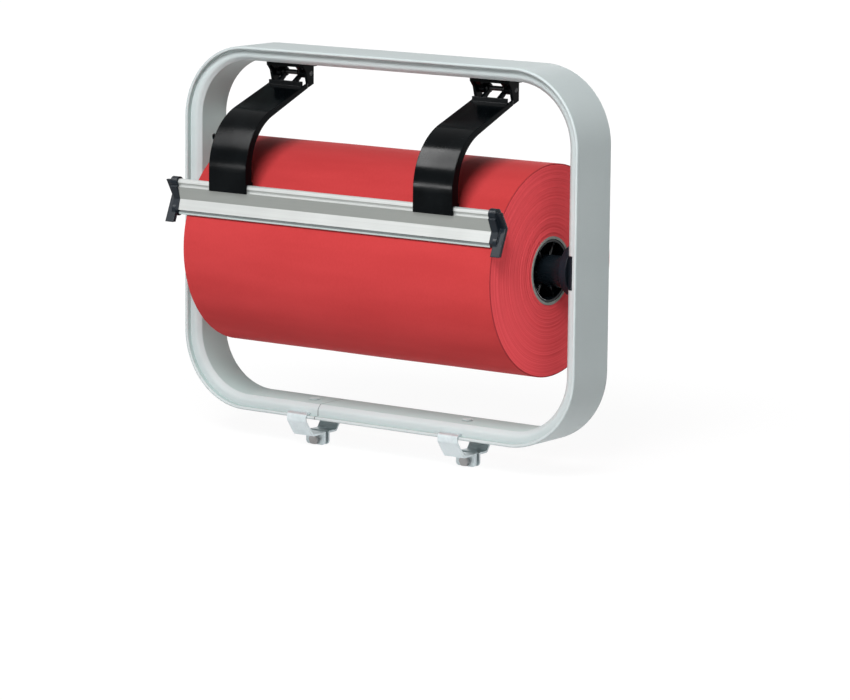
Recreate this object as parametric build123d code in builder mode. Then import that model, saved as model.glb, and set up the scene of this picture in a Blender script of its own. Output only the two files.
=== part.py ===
from build123d import *
from math import cos, hypot, radians, sin, tan
import os

# Paper roll dispenser: a hollow hoop that holds a roll on two stub axles, with two clamps under its base.
# Millimetres. +X to the user's right, +Y to the back, +Z up.
# The origin is the middle of the hoop's flat underside.

# Shared clearances
overrun = 5.0
running_clearance = 0.05
fit_clearance = 0.1
seat_clearance = 0.2

# Hoop: one bent hollow section with a lip along both edges of its outer face
hoop_depth = 48.0
hoop_corner_radius = 61.0
hoop_thickness = 11.8
hoop_wall = 1.5
cavity_inset = 0.8
lip_height = 2.6
lip_width = 4.8
lip_rounding = 1.2
shoulder_height = 3.4
shoulder_rounding = 4.0
inner_flat_width = 31.6
inner_flat_rounding = 1.6
seam_place = -58.0
seam_gap = 0.3
joiner_length = 26.0
joiner_wall = 1.5

# Holes in the hoop, and the plugs that close those in its base
base_hole_spacing = 152.0
base_hole_radius = 2.6
access_hole_radius = 3.8
side_hole_radius = 2.75
side_hole_rise = 80.0
plug_head_radius = 4.4
plug_head_height = 1.0
plug_head_rounding = 0.6
plug_shank_length = 3.2

# Paper roll on its cardboard core, and the room that the hoop leaves round it
roll_length = 300.0
roll_diameter = 167.6
roll_shift = 4.0
largest_roll_diameter = 250.0
roll_floor_gap = 2.2
roll_roof_gap = 22.2
roll_end_gap = 30.7
core_bore = 50.0
core_wall = 2.0

# Axle holders in the hoop's side notches, and the core plugs that turn on them
notch_drop = 10.5
notch_height = 26.8
notch_depth = 5.6
notch_back = 8.0
collar_radius = 20.5
collar_thickness = 6.7
collar_rounding = 1.0
axle_radius = 8.0
axle_length = 48.0
hub_radius = 12.5
hub_length = 49.0
hub_gap = 0.6
plug_recess = 0.5
plug_rim_length = 22.0
plug_rim_wall = 2.0
spoke_count = 6
spoke_thickness = 2.2
spoke_depth = 12.0
spoke_setback = 5.0

# Tear rail that rests on the roll, and the blade in its foot
rail_overhang = 2.0
rail_clearance = 0.3
rail_contact_angle = 26.0
rail_valley_forward = 4.3
rail_valley_rise = 2.1
rail_upper_height = 10.0
rail_upper_overhang = 3.0
rail_lower_height = 8.6
rail_lower_overhang = 2.4
rail_back_drop = 7.6
rail_back_rise = 4.6
rail_top_thickness = 4.7
rail_wall = 1.2
ridge_radius = 2.7
ridge_rise = 3.8
ridge_neck = 2.8
blade_thickness = 0.8
blade_cover = 1.2
blade_grip = 4.4
blade_reach = 3.2
blade_bevel = 1.4

# Caps on the rail's ends
cap_rim_width = 6.5
cap_rim_proud = 1.6
cap_rim_drop = 3.5
cap_lobe_start = 3.0
cap_lobe_end = 6.5
cap_lobe_radius = 5.5
cap_lobe_proud = 0.5
cap_wing_end = 11.4
cap_wing_thickness = 3.5
cap_wing_top_forward = 4.1
cap_wing_top_rise = 1.8
cap_wing_valley_setback = 3.0
cap_wing_valley_rise = 2.8
cap_wing_foot_forward = 3.3
cap_wing_foot_drop = 10.0
cap_wing_rounding = 0.8
cap_tongue_length = 6.0

# Arms that carry the rail
arm_inset = 51.8
arm_width = 37.0
arm_wall = 1.8
arm_slope = 20.0
arm_offset = 5.9
arm_bend_share = 0.786
arm_lap = 0.3
flange_thickness = 2.0
flange_top_depth = 3.5
flange_foot_depth = 8.0
flange_taper = 2.0
foot_gap = 0.3
foot_leg_reach = 5.6
flange_setback = 4.6
window_length = 9.0
window_wall_height = 3.3
rib_place = 7.7
rib_thickness = 2.6
rib_boss_radius = 3.6

# Hinges of the arms under the hoop's top
hinge_setback = 1.0
hinge_drop = 8.5
hinge_pin_radius = 2.0
hinge_pin_chamfer = 0.4
bracket_front = 11.0
bracket_back = 9.0
bracket_plate = 3.2
bracket_rounding = 1.2
knuckle_place = 12.1
knuckle_width = 4.8
knuckle_radius = 4.2
knuckle_flare = 2.0
ear_thickness = 2.4
ear_knee_forward = 7.2
ear_knee_rise = 1.2
ear_foot_forward = 3.6
ear_front_drop = 11.2
ear_back_drop = 8.8
ear_back = 3.2
screw_setback = 5.0
screw_radius = 2.0
screw_head_radius = 3.8
screw_length = 10.0
screw_socket_radius = 1.3
screw_socket_depth = 1.2

# Clamps under the hoop's base
clamp_spacing = 150.0
clamp_width = 19.0
clamp_sheet = 1.6
clamp_bend_radius = 1.4
clamp_hook_length = 4.5
clamp_lip_gap = 0.3
clamp_panel_start = 2.0
clamp_panel_inset = 9.0
clamp_strap_drop = 14.2
clamp_tab_length = 11.2
clamp_tab_rounding = 3.0
clamp_tab_gap = 3.4
bolt_radius = 2.5
bolt_head_across = 8.0
bolt_head_height = 3.5
bolt_head_chamfer = 0.5
bolt_drop = 20.8
bolt_reach = 16.0
nut_height = 4.0

# Places on the hoop, which is made to take the largest roll
axle_height = hoop_thickness + roll_floor_gap + largest_roll_diameter / 2
hoop_width = roll_length + 2 * (roll_end_gap + hoop_thickness)
hoop_height = axle_height + largest_roll_diameter / 2 + roll_roof_gap + hoop_thickness
notch_bottom = axle_height - notch_drop
side_hole_height = axle_height + side_hole_rise
half_width = hoop_width / 2
half_depth = hoop_depth / 2
section_side = half_depth - lip_width
shoulder_foot = hoop_thickness - shoulder_height
flat_edge = inner_flat_width / 2
cavity_half = flat_edge - cavity_inset
cavity_top = hoop_thickness - hoop_wall
cavity_middle = (hoop_wall + cavity_top) / 2
web_middle = hoop_thickness - hoop_wall / 2
inner_side = half_width - hoop_thickness
inner_roof = hoop_height - hoop_thickness

# Places on the roll and its axle
roll_radius = roll_diameter / 2
roll_end = roll_shift + roll_length / 2
core_bore_radius = core_bore / 2
core_radius = core_bore_radius + core_wall
collar_face = inner_side - collar_thickness
hub_end = collar_face - hub_gap
plug_rim_radius = core_bore_radius - fit_clearance
plug_rim_bore = plug_rim_radius - plug_rim_wall
plug_rim_end = roll_end - plug_recess

# Places on the rail's section, as (y, z)
contact_radius = roll_radius + rail_clearance
lean_y = sin(radians(rail_contact_angle))
lean_z = cos(radians(rail_contact_angle))
contact = (-contact_radius * lean_z, axle_height + contact_radius * lean_y)
back_low = (contact[0] - rail_back_drop * lean_y, contact[1] - rail_back_drop * lean_z)
back_high = (contact[0] + rail_back_rise * lean_y, contact[1] + rail_back_rise * lean_z)
valley = (contact[0] - rail_valley_forward, contact[1] + rail_valley_rise)
face_top = (valley[0] - rail_upper_overhang, valley[1] + rail_upper_height)
face_foot = (valley[0] - rail_lower_overhang, valley[1] - rail_lower_height)
top_back = (face_top[0] + rail_top_thickness, face_top[1])
ridge = (face_top[0] + ridge_radius, face_top[1] + ridge_rise)
ridge_top = ridge[1] + ridge_radius
ridge_back = ridge[0] + ridge_radius
rail_length = roll_length + 2 * rail_overhang
rail_half = rail_length / 2
lower_face = hypot(rail_lower_overhang, rail_lower_height)
down_y = -rail_lower_overhang / lower_face
down_z = -rail_lower_height / lower_face

# Places on the arms and their hinges
arm_place = rail_half - arm_inset
half_arm = arm_width / 2
hinge_y = hinge_setback
hinge_z = inner_roof - hinge_drop
plate_bottom = inner_roof - bracket_plate
slope = tan(radians(arm_slope))
slant = 1 / cos(radians(arm_slope))
arm_front = ridge[0] - ridge_radius - fit_clearance - arm_wall
arm_foot = face_top[1] - arm_lap
shelf_bottom = ridge_top + foot_gap
leg_front = ridge_back + foot_gap
leg_back = leg_front + arm_wall
flange_end = hinge_y - flange_setback
window_front = hinge_y - window_length

# Places on the clamps
clamp_place = clamp_spacing / 2
clamp_left = clamp_place - clamp_width / 2
clamp_face = half_depth + clamp_lip_gap
clamp_hook = lip_height + seat_clearance
clamp_tab_foot = clamp_strap_drop + clamp_tab_length
rear_tab = clamp_sheet + clamp_tab_gap
nut_face = rear_tab + clamp_sheet

os.makedirs("parts", exist_ok=True)


def keep(builder, name):
    """Label a finished piece and write it to its own file."""
    builder.part.label = name
    export_step(builder.part, f"parts/{name}.step")


def keep_pair(builder, name, middle=Plane.YZ):
    """Write a right-hand piece, and its mirror image about the middle plane."""
    with BuildPart() as mirrored:
        mirror(builder.part, about=middle)
    keep(builder, f"{name}_right")
    keep(mirrored, f"{name}_left")


def section_at(x):
    """Plane across the dispenser at x, with its axes along Y and Z."""
    return Plane.YZ.offset(x)


def arm_top(y):
    """Height of the arm's upper face on its straight run."""
    return hinge_z - arm_offset * slant + (y - hinge_y) * slope


def blade_point(inward, down):
    """Point that far behind the rail's lower face and that far below its foot."""
    y = face_foot[0] - inward * down_z + down * down_y
    z = face_foot[1] + inward * down_y + down * down_z
    return (y, z)


# Hoop
half_outline = [
    (0, 0),
    (half_depth, 0),
    (half_depth, lip_height),
    (section_side, lip_height),
    (section_side, shoulder_foot),
    (flat_edge, hoop_thickness),
    (0, hoop_thickness),
]
hoop_start = seam_place + seam_gap / 2
hoop_end = seam_place - seam_gap / 2
hoop_corners = [
    (half_width, 0),
    (half_width, hoop_height),
    (-half_width, hoop_height),
    (-half_width, 0),
]
corner_roundings = [
    (half_depth, 0, lip_rounding),
    (half_depth, lip_height, lip_rounding),
    (section_side, shoulder_foot, shoulder_rounding),
    (flat_edge, hoop_thickness, inner_flat_rounding),
]
notch_middle = notch_bottom + notch_height / 2
notch_reach = notch_depth + overrun
notch_span = half_depth + overrun + notch_back
notch_x = inner_side + notch_depth - notch_reach / 2
notch_y = notch_back - notch_span / 2
half_base_holes = base_hole_spacing / 2
side_web = half_width - web_middle
top_web = hoop_height - web_middle

with BuildPart() as hoop_frame:
    with BuildLine(Plane.XZ) as hoop_path:
        FilletPolyline((hoop_start, 0), *hoop_corners, (hoop_end, 0), radius=hoop_corner_radius)
    with BuildSketch(Plane(origin=(hoop_start, 0, 0), x_dir=(0, 1, 0), z_dir=(1, 0, 0))) as hoop_section:
        with BuildLine():
            Polyline(*half_outline)
            mirror(about=Plane.YZ)
        make_face()
        for side, height, rounding in corner_roundings:
            corners = hoop_section.vertices().filter_by(
                lambda v: hypot(abs(v.X) - side, v.Y - height) < fit_clearance
            )
            fillet(corners, radius=rounding)
        with Locations((0, cavity_middle)):
            Rectangle(2 * cavity_half, cavity_top - hoop_wall, mode=Mode.SUBTRACT)
    sweep(path=hoop_path.wire())
    with BuildSketch(Plane.XY.offset(notch_bottom)):
        with Locations((notch_x, notch_y), (-notch_x, notch_y)):
            Rectangle(notch_reach, notch_span)
    extrude(amount=notch_height, mode=Mode.SUBTRACT)
    with Locations((half_base_holes, 0, web_middle), (-half_base_holes, 0, web_middle)):
        Cylinder(access_hole_radius, 2 * hoop_wall, mode=Mode.SUBTRACT)
    with Locations((half_base_holes, 0, hoop_wall / 2), (-half_base_holes, 0, hoop_wall / 2)):
        Cylinder(base_hole_radius, 2 * hoop_wall, mode=Mode.SUBTRACT)
    with Locations((side_web, 0, side_hole_height), (-side_web, 0, side_hole_height)):
        Cylinder(side_hole_radius, 2 * hoop_wall, rotation=(0, 90, 0), mode=Mode.SUBTRACT)
    with Locations((arm_place, -screw_setback, top_web), (-arm_place, -screw_setback, top_web)):
        Cylinder(screw_radius + running_clearance, 2 * hoop_wall, mode=Mode.SUBTRACT)
keep(hoop_frame, "hoop_frame")

# Sleeve inside the hoop across its seam
joiner_width = 2 * (cavity_half - seat_clearance)
joiner_height = cavity_top - hoop_wall - 2 * seat_clearance

with BuildPart() as seam_joiner:
    with BuildSketch(section_at(seam_place - joiner_length / 2)):
        with Locations((0, cavity_middle)):
            Rectangle(joiner_width, joiner_height)
            Rectangle(joiner_width - 2 * joiner_wall, joiner_height - 2 * joiner_wall, mode=Mode.SUBTRACT)
    extrude(amount=joiner_length)
keep(seam_joiner, "seam_joiner")

# Flat plugs over the base's screw holes
with BuildPart() as base_hole_plugs:
    with BuildSketch(Plane.XY.offset(hoop_thickness)):
        with GridLocations(base_hole_spacing, 0, 2, 1):
            Circle(plug_head_radius)
    extrude(amount=plug_head_height)
    fillet(base_hole_plugs.edges().group_by(Axis.Z)[-1], radius=plug_head_rounding)
    with BuildSketch(Plane.XY.offset(hoop_thickness)):
        with GridLocations(base_hole_spacing, 0, 2, 1):
            Circle(access_hole_radius - fit_clearance)
    extrude(amount=-plug_shank_length)
keep(base_hole_plugs, "base_hole_plugs")

# Axle holder: collar, stub axle and the block that fills the hoop's notch
block_side = inner_side + notch_depth - seat_clearance
block_back = notch_back - seat_clearance
block_outline = [
    (inner_side, -flat_edge),
    (inner_side + shoulder_height, -section_side),
    (block_side, -section_side),
    (block_side, block_back),
    (inner_side, block_back),
]

with BuildPart() as axle_holder:
    with BuildSketch(section_at(collar_face)):
        with Locations((0, notch_middle)):
            Circle(collar_radius)
    extrude(amount=collar_thickness)
    fillet(axle_holder.edges().group_by(Axis.X)[0], radius=collar_rounding)
    with BuildSketch(section_at(collar_face)):
        with Locations((0, axle_height)):
            Circle(axle_radius)
    extrude(amount=-axle_length)
    chamfer(axle_holder.edges().group_by(Axis.X)[0], length=collar_rounding)
    with BuildSketch(Plane.XY.offset(notch_bottom + seat_clearance)):
        with BuildLine():
            Polyline(*block_outline, close=True)
        make_face()
    extrude(amount=notch_height - 2 * seat_clearance)
keep_pair(axle_holder, "axle_holder")

# Core plug: rim in the core, spokes, and a hub that turns on the stub axle
spoke_length = plug_rim_bore - hub_radius + plug_rim_wall
spoke_middle = (plug_rim_bore + hub_radius) / 2

with BuildPart() as core_plug:
    with BuildSketch(section_at(plug_rim_end)):
        with Locations((0, axle_height)):
            Circle(plug_rim_radius)
            Circle(plug_rim_bore, mode=Mode.SUBTRACT)
    extrude(amount=-plug_rim_length)
    with BuildSketch(section_at(plug_rim_end - spoke_setback)):
        with Locations((0, axle_height)):
            with PolarLocations(spoke_middle, spoke_count):
                Rectangle(spoke_length, spoke_thickness)
    extrude(amount=-spoke_depth)
    with BuildSketch(section_at(hub_end)):
        with Locations((0, axle_height)):
            Circle(hub_radius)
    extrude(amount=-hub_length)
    with BuildSketch(section_at(hub_end)):
        with Locations((0, axle_height)):
            Circle(axle_radius + running_clearance)
    extrude(amount=-hub_length, mode=Mode.SUBTRACT)
keep_pair(core_plug, "core_plug", section_at(roll_shift))

# Paper roll and its core
with BuildPart() as paper_roll:
    with BuildSketch(section_at(roll_end)):
        with Locations((0, axle_height)):
            Circle(roll_radius)
            Circle(core_radius + fit_clearance, mode=Mode.SUBTRACT)
    extrude(amount=-roll_length)
keep(paper_roll, "paper_roll")

with BuildPart() as core_tube:
    with BuildSketch(section_at(roll_end)):
        with Locations((0, axle_height)):
            Circle(core_radius)
            Circle(core_bore_radius, mode=Mode.SUBTRACT)
    extrude(amount=-roll_length)
keep(core_tube, "core_tube")

# Tear rail
neck_height = ridge[1] - face_top[1] + rail_wall
slot_side = fit_clearance / 2
slot_outline = [
    blade_point(blade_cover - slot_side, overrun),
    blade_point(blade_cover - slot_side, -blade_grip - fit_clearance),
    blade_point(blade_cover + blade_thickness + slot_side, -blade_grip - fit_clearance),
    blade_point(blade_cover + blade_thickness + slot_side, overrun),
]

with BuildPart() as tear_rail:
    with BuildSketch(section_at(-rail_half)):
        with BuildLine():
            Polyline(face_top, valley, face_foot, back_low, back_high, top_back, close=True)
        make_face()
        with Locations((ridge[0], ridge[1] - neck_height / 2)):
            Rectangle(ridge_neck, neck_height)
        with Locations(ridge):
            Circle(ridge_radius)
    extrude(amount=rail_length)
    with BuildSketch(section_at(-rail_half)):
        with BuildLine():
            Polyline(face_top, valley, back_high, top_back, close=True)
        make_face()
        offset(amount=-rail_wall, kind=Kind.INTERSECTION)
    extrude(amount=rail_length, mode=Mode.SUBTRACT)
    with BuildSketch(section_at(-rail_half)):
        with BuildLine():
            Polyline(*slot_outline, close=True)
        make_face()
    extrude(amount=rail_length, mode=Mode.SUBTRACT)
keep(tear_rail, "tear_rail")

# Blade in the rail's foot
blade_outline = [
    blade_point(blade_cover, blade_reach - blade_bevel),
    blade_point(blade_cover, -blade_grip),
    blade_point(blade_cover + blade_thickness, -blade_grip),
    blade_point(blade_cover + blade_thickness, blade_reach),
]

with BuildPart() as tear_blade:
    with BuildSketch(section_at(-rail_half)):
        with BuildLine():
            Polyline(*blade_outline, close=True)
        make_face()
    extrude(amount=rail_length)
keep(tear_blade, "tear_blade")

# Rail end cap: rim over the rail's end, lobe, bent wing and a tongue in the rail's chamber
rim_outline = [
    (face_top[0] - cap_rim_proud, face_top[1]),
    valley,
    (face_foot[0] - cap_lobe_proud, face_foot[1]),
    (back_low[0] - cap_rim_drop * lean_y, back_low[1] - cap_rim_drop * lean_z),
    back_high,
    (ridge_back, ridge[1]),
    ridge,
]
lobe_middle = (face_foot[0] + cap_lobe_radius - cap_lobe_proud, face_foot[1])
wing_top = (ridge[0] - cap_wing_top_forward, ridge[1] + cap_wing_top_rise)
wing_valley = (valley[0] + cap_wing_valley_setback, valley[1] + cap_wing_valley_rise)
wing_foot = (face_foot[0] - cap_wing_foot_forward, face_foot[1] - cap_wing_foot_drop)
wing_front = [wing_top, wing_valley, wing_foot]
wing_back = [(y + cap_wing_thickness, z) for y, z in reversed(wing_front)]
chamber_outline = [face_top, valley, back_high, top_back]

with BuildPart() as end_cap:
    with BuildSketch(section_at(rail_half)):
        with BuildLine():
            Polyline(*rim_outline, close=True)
        make_face()
        with Locations(ridge):
            Circle(ridge_radius + cap_rim_proud)
    extrude(amount=cap_rim_width)
    with BuildSketch(section_at(rail_half + cap_lobe_start)):
        with Locations(lobe_middle):
            Circle(cap_lobe_radius)
    extrude(amount=cap_lobe_end - cap_lobe_start)
    with BuildSketch(section_at(rail_half + cap_lobe_start)):
        with BuildLine():
            Polyline(*wing_front, *wing_back, close=True)
        make_face()
    extrude(amount=cap_wing_end - cap_lobe_start)
    fillet(end_cap.faces().sort_by(Axis.X)[-1].edges(), radius=cap_wing_rounding)
    with BuildSketch(section_at(rail_half)):
        with BuildLine():
            Polyline(*chamber_outline, close=True)
        make_face()
        offset(amount=-rail_wall - fit_clearance, kind=Kind.INTERSECTION)
    extrude(amount=-cap_tongue_length)
keep_pair(end_cap, "end_cap")

# Arm: bent strip with side flanges, a snap foot for the rail's ridge, and a slotted hinge end
arm_corner = (arm_front, arm_top(arm_front))
arm_drop = arm_corner[1] - shelf_bottom
arm_run = (window_front - arm_front) * slant
half_bend = radians(90 - arm_slope) / 2
arm_bend_radius = arm_bend_share * min(arm_drop, arm_run) / tan(half_bend)
strip_back = arm_front + arm_wall
strip_start = (window_front, arm_top(window_front))
strip_under = (window_front, arm_top(window_front) - arm_wall * slant)
strip_inner_corner = (strip_back, arm_top(strip_back) - arm_wall * slant)
flange_start = (flange_end, arm_top(flange_end))
flange_under = (flange_end, arm_top(flange_end) - flange_top_depth * slant)
flange_back = arm_front + flange_foot_depth
flange_slope = tan(radians(arm_slope + flange_taper))
flange_corner = (flange_back, flange_under[1] + (flange_back - flange_end) * flange_slope)
wall_top = arm_top(window_front) + window_wall_height
wall_middle = (wall_top + strip_under[1]) / 2
arm_side = arm_place - half_arm
far_flange = arm_place + half_arm - flange_thickness

with BuildPart() as arm:
    with BuildSketch(section_at(arm_side)):
        with BuildLine():
            strip_outer = FilletPolyline(strip_start, arm_corner, (arm_front, arm_foot),
                                         radius=arm_bend_radius)
            strip_inner = FilletPolyline(strip_under, strip_inner_corner, (strip_back, arm_foot),
                                         radius=arm_bend_radius - arm_wall)
            Line(strip_outer @ 0, strip_inner @ 0)
            Line(strip_outer @ 1, strip_inner @ 1)
        make_face()
    extrude(amount=arm_width)
    with BuildSketch(section_at(arm_side), section_at(far_flange)):
        with BuildLine():
            flange_outer = FilletPolyline(flange_start, arm_corner, (arm_front, shelf_bottom),
                                          radius=arm_bend_radius)
            flange_inner = FilletPolyline(flange_under, flange_corner, (flange_back, shelf_bottom),
                                          radius=arm_bend_radius - flange_foot_depth)
            Line(flange_outer @ 0, flange_inner @ 0)
            Line(flange_outer @ 1, flange_inner @ 1)
        make_face()
    extrude(amount=flange_thickness)
    with BuildSketch(section_at(arm_side + flange_thickness)):
        with Locations((window_front - arm_wall / 2, wall_middle)):
            Rectangle(arm_wall, wall_top - strip_under[1])
    extrude(amount=arm_width - 2 * flange_thickness)
    with BuildSketch(
        section_at(arm_place - rib_place - rib_thickness / 2),
        section_at(arm_place + rib_place - rib_thickness / 2),
    ):
        with BuildLine():
            Polyline(
                (window_front - arm_wall / 2, wall_top),
                (hinge_y, hinge_z),
                (hinge_y, hinge_z - rib_boss_radius),
                (window_front - arm_wall / 2, strip_under[1]),
                close=True,
            )
        make_face()
        with Locations((hinge_y, hinge_z)):
            Circle(rib_boss_radius)
    extrude(amount=rib_thickness)
    with BuildSketch(section_at(arm_side)):
        with Locations((arm_front, shelf_bottom)):
            Rectangle(leg_back - arm_front, arm_wall, align=Align.MIN)
        with Locations((leg_front, shelf_bottom - foot_leg_reach)):
            Rectangle(arm_wall, foot_leg_reach + arm_wall, align=Align.MIN)
    extrude(amount=arm_width)
    with BuildSketch(section_at(arm_side)):
        with Locations((hinge_y, hinge_z)):
            Circle(hinge_pin_radius + running_clearance)
    extrude(amount=arm_width, mode=Mode.SUBTRACT)
keep_pair(arm, "arm")

# Hinge pin
with BuildPart() as hinge_pin:
    with BuildSketch(section_at(arm_side)):
        with Locations((hinge_y, hinge_z)):
            Circle(hinge_pin_radius)
    extrude(amount=arm_width)
    chamfer(hinge_pin.edges().filter_by(GeomType.CIRCLE), length=hinge_pin_chamfer)
keep_pair(hinge_pin, "hinge_pin")

# Hinge bracket under the hoop's top
plate_middle = (bracket_back - bracket_front) / 2
ear_outline = [
    (bracket_rounding - bracket_front, plate_bottom),
    (hinge_y - ear_knee_forward, hinge_z + ear_knee_rise),
    (hinge_y - ear_foot_forward, hinge_z - ear_front_drop),
    (hinge_y + ear_back, hinge_z - ear_back_drop),
    (hinge_y + ear_back, plate_bottom),
]

with BuildPart() as hinge_bracket:
    with BuildSketch(Plane.XY.offset(plate_bottom)):
        with Locations((arm_place, plate_middle)):
            RectangleRounded(arm_width, bracket_front + bracket_back, bracket_rounding)
    extrude(amount=bracket_plate)
    with BuildSketch(
        section_at(arm_place - knuckle_place - knuckle_width / 2),
        section_at(arm_place + knuckle_place - knuckle_width / 2),
    ):
        with BuildLine():
            Polyline(
                (knuckle_flare - bracket_front, plate_bottom),
                (hinge_y - knuckle_radius, hinge_z),
                (hinge_y + knuckle_radius, hinge_z),
                (hinge_y + knuckle_radius + knuckle_flare, plate_bottom),
                close=True,
            )
        make_face()
        with Locations((hinge_y, hinge_z)):
            Circle(knuckle_radius)
    extrude(amount=knuckle_width)
    with BuildSketch(section_at(arm_side), section_at(arm_place + half_arm - ear_thickness)):
        with BuildLine():
            Polyline(*ear_outline, close=True)
        make_face()
    extrude(amount=ear_thickness)
    with BuildSketch(section_at(arm_side)):
        with Locations((hinge_y, hinge_z)):
            Circle(hinge_pin_radius + running_clearance)
    extrude(amount=arm_width, mode=Mode.SUBTRACT)
    with Locations(Location((arm_place, -screw_setback, plate_bottom), (180, 0, 0))):
        CounterSinkHole(screw_radius + fit_clearance, screw_head_radius + fit_clearance,
                        depth=bracket_plate, counter_sink_angle=90)
keep_pair(hinge_bracket, "hinge_bracket")

# Countersunk screws of the brackets
screw_base = (Align.CENTER, Align.CENTER, Align.MIN)
screw_cone = screw_head_radius - screw_radius

with BuildPart() as bracket_screws:
    with Locations((arm_place, -screw_setback, plate_bottom), (-arm_place, -screw_setback, plate_bottom)):
        Cone(screw_head_radius, screw_radius, screw_cone, align=screw_base)
        Cylinder(screw_radius, screw_length, align=screw_base)
    with BuildSketch(Plane.XY.offset(plate_bottom)):
        with Locations((arm_place, -screw_setback), (-arm_place, -screw_setback)):
            RegularPolygon(screw_socket_radius, 6, major_radius=False)
    extrude(amount=screw_socket_depth, mode=Mode.SUBTRACT)
keep(bracket_screws, "bracket_screws")

# Clamp jaws: bent sheet with a hook over the hoop's lip and a tab for the bolt
front_jaw_path = [
    (clamp_hook_length - half_depth, clamp_hook),
    (-clamp_face, clamp_hook),
    (-clamp_face, -clamp_panel_start),
    (clamp_panel_inset - clamp_face, -clamp_strap_drop),
    (clamp_sheet, -clamp_strap_drop),
    (clamp_sheet, -clamp_tab_foot),
]
rear_jaw_path = [
    (half_depth - clamp_hook_length, clamp_hook),
    (clamp_face, clamp_hook),
    (clamp_face, -clamp_panel_start),
    (clamp_face - clamp_panel_inset, -clamp_strap_drop),
    (rear_tab, -clamp_strap_drop),
    (rear_tab, -clamp_tab_foot),
]


def build_jaw(path, side):
    """Bend a sheet along the path, thickened to its side, and bore its tab for the bolt."""
    with BuildPart() as jaw:
        with BuildSketch(section_at(clamp_left)):
            with BuildLine():
                FilletPolyline(*path, radius=clamp_bend_radius)
                offset(amount=clamp_sheet, side=side)
            make_face()
        extrude(amount=clamp_width)
        fillet(jaw.edges().filter_by(Axis.Y).group_by(Axis.Z)[0], radius=clamp_tab_rounding)
        with BuildSketch(Plane.XZ.offset(-half_depth)):
            with Locations((clamp_place, -bolt_drop)):
                Circle(bolt_radius + running_clearance)
        extrude(amount=hoop_depth, mode=Mode.SUBTRACT)
    return jaw


keep_pair(build_jaw(front_jaw_path, Side.RIGHT), "clamp_front_jaw")
keep_pair(build_jaw(rear_jaw_path, Side.LEFT), "clamp_rear_jaw")

# Clamp bolt and nut
with BuildPart() as clamp_bolt:
    with BuildSketch(Plane.XZ.offset(fit_clearance)):
        with Locations((clamp_place, -bolt_drop)):
            RegularPolygon(bolt_head_across / 2, 6, major_radius=False)
    extrude(amount=bolt_head_height)
    chamfer(clamp_bolt.faces().sort_by(Axis.Y)[0].edges(), length=bolt_head_chamfer)
    with BuildSketch(Plane.XZ.offset(fit_clearance)):
        with Locations((clamp_place, -bolt_drop)):
            Circle(bolt_radius)
    extrude(amount=-bolt_reach - fit_clearance)
    chamfer(clamp_bolt.faces().sort_by(Axis.Y)[-1].edges(), length=bolt_head_chamfer)
keep_pair(clamp_bolt, "clamp_bolt")

with BuildPart() as clamp_nut:
    with BuildSketch(Plane.XZ.offset(-nut_face)):
        with Locations((clamp_place, -bolt_drop)):
            RegularPolygon(bolt_head_across / 2, 6, major_radius=False)
            Circle(bolt_radius + running_clearance, mode=Mode.SUBTRACT)
    extrude(amount=-nut_height)
keep_pair(clamp_nut, "clamp_nut")
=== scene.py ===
"""Looks of a paper roll dispenser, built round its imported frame.

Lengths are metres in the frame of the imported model: +X to the user's right, +Y to the back and
+Z up. Fields that hold angles hold degrees.
"""

from __future__ import annotations

import logging
import math
from dataclasses import dataclass, field
from enum import Enum
from typing import Any

import bpy
import numpy as np
from mathutils import Matrix, Quaternion, Vector


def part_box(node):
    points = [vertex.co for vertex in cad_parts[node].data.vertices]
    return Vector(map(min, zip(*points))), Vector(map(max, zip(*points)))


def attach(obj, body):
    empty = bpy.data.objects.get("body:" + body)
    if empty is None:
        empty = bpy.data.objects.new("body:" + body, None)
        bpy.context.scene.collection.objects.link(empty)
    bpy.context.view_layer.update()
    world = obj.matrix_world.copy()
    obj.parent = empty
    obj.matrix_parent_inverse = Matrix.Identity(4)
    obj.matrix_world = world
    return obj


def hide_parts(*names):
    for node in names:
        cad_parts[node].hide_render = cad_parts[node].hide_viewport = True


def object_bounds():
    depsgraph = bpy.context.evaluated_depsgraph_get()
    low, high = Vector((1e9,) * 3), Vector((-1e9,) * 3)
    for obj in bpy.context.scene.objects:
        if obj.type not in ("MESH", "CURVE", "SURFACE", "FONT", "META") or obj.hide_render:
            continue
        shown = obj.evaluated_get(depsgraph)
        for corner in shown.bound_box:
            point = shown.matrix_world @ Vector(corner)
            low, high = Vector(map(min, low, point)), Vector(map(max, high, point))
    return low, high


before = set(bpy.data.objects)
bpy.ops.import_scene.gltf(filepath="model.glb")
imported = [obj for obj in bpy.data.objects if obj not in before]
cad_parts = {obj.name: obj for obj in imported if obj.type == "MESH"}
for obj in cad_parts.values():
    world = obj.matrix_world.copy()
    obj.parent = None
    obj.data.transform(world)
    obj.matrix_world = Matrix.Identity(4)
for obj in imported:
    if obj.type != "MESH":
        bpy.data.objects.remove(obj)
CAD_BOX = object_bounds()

Colour = tuple[float, float, float, float]
Point = tuple[float, float, float]
Span = tuple[float, float]

log = logging.getLogger("dispenser")

# Sockets of a Mix node that mixes colours
MIX_SHARE, MIX_FIRST, MIX_SECOND, MIX_RESULT = 0, 6, 7, 2

# Rays that show the backdrop itself, straight, mirrored or through a clear piece
SHOWING_RAYS = ("Is Camera Ray", "Is Glossy Ray", "Is Transmission Ray")

# Value that a cloudy pattern swings about
PATTERN_MIDDLE = 0.5

# How sharp edges are found and rounded
BEVEL_SAMPLES = 4
EDGE_FADE: Span = (0.01, 0.2)


class Side(Enum):
    """The two hands of the paired pieces."""

    LEFT = "left"
    RIGHT = "right"

    def of(self, piece: str) -> str:
        """Name of a paired piece or body on this side."""
        return f"{piece}_{self.value}"


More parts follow.
